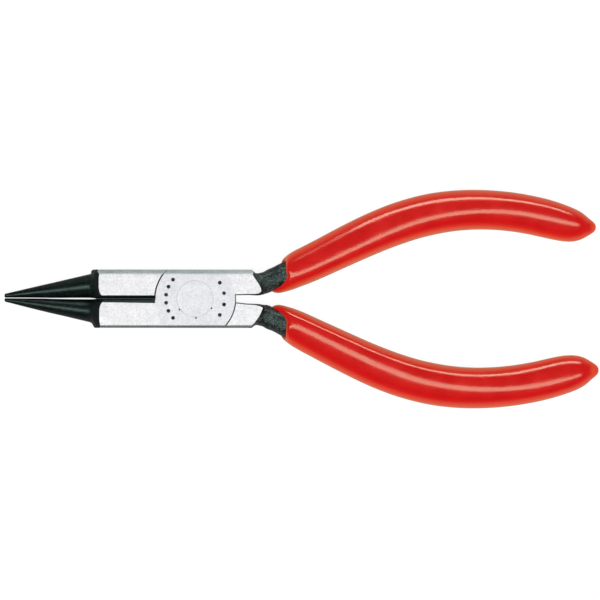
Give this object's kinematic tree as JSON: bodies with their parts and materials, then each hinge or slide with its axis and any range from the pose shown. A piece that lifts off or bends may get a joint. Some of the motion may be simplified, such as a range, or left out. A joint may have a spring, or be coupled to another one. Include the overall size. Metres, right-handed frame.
{
  "type": "round nose pliers",
  "caption": "Small hand pliers with two slim conical jaws for bending wire loops, a flat riveted lap joint and two bowed, dip-coated handles.",
  "frame": {"origin": "on the pivot axis, at the rear face of the joint", "axes": "+X along the tool from the pivot towards the handles (the jaws point along -X), +Y towards the front half's handle, +Z along the pivot axis from the rear joint face to the front joint face"},
  "size_m": [0.1301, 0.0479, 0.009],
  "materials": {
    "forged_steel": "head ground and polished bright, jaws, necks and tangs left black",
    "rivet_steel": "ground flush and polished with the head",
    "dipped_coating": "glossy red soft plastic, dip-coated"
  },
  "bodies": {
    "rear": {"rear_half": "forged_steel", "rivet": "rivet_steel", "rear_grip": "dipped_coating"},
    "front": {"front_half": "forged_steel", "front_grip": "dipped_coating"}
  },
  "joints": [
    {"name": "pivot", "type": "hinge", "parent": "rear", "child": "front", "pos_m": [0, 0, 0.0045], "axis": [0, 0, 1], "range_deg": [0, 40]}
  ]
}
